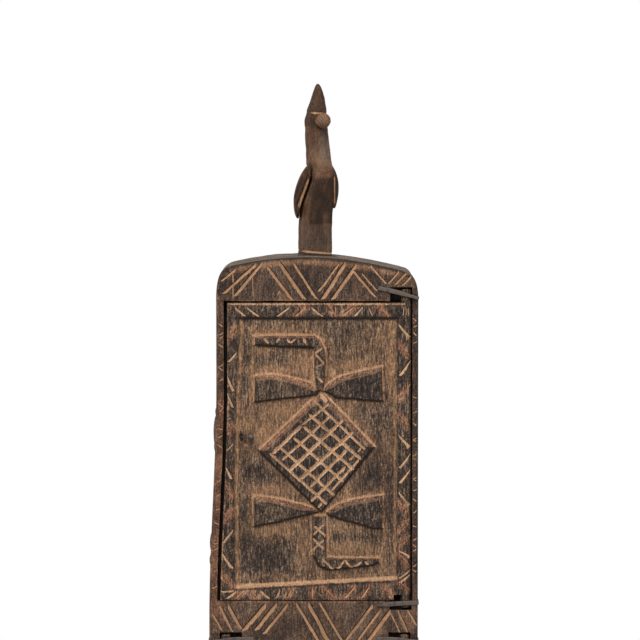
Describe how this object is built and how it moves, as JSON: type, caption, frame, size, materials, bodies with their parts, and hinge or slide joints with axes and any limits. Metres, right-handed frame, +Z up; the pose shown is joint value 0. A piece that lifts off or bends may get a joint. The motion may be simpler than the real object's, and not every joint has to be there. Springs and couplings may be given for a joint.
{
  "type": "carved wooden cupboard box",
  "caption": "Upright cupboard box hollowed from one log, with an arched top, a bird finial, a carved upper door and a pair of lower doors hung on lugs under iron staples.",
  "frame": {"origin": "middle of the foot, on the surface that the box stands on", "axes": "+Z up, +X to the right seen from the front, -Y to the front, where the doors are"},
  "size_m": [0.2127, 0.1352, 0.8915],
  "materials": {
    "body_wood": "dark worn patina, hand carved",
    "door_wood": "dark worn patina, open vertical grain",
    "wrought_iron": "hand forged, dull and pitted"
  },
  "bodies": {
    "case": {"carved_body": "body_wood", "upper_door_top_staple": "wrought_iron", "upper_door_bottom_staple": "wrought_iron", "lower_left_door_top_staple": "wrought_iron", "lower_left_door_bottom_staple": "wrought_iron", "lower_right_door_top_staple": "wrought_iron", "lower_right_door_bottom_staple": "wrought_iron"},
    "upper_leaf": {"upper_door": "door_wood", "upper_door_pull": "wrought_iron"},
    "lower_left_leaf": {"lower_left_door": "door_wood", "lower_left_door_pull": "wrought_iron"},
    "lower_right_leaf": {"lower_right_door": "door_wood", "lower_right_door_pull": "wrought_iron"}
  },
  "joints": [
    {"name": "upper_door_hinge", "type": "hinge", "parent": "case", "child": "upper_leaf", "pos_m": [0.0926, -0.0597, 0.52275], "axis": [0, 0, 1], "range_deg": [0, 95]},
    {"name": "lower_left_door_hinge", "type": "hinge", "parent": "case", "child": "lower_left_leaf", "pos_m": [-0.0883, -0.0597, 0.183], "axis": [0, 0, -1], "range_deg": [0, 95]},
    {"name": "lower_right_door_hinge", "type": "hinge", "parent": "case", "child": "lower_right_leaf", "pos_m": [0.0916, -0.0597, 0.183], "axis": [0, 0, 1], "range_deg": [0, 95]}
  ]
}
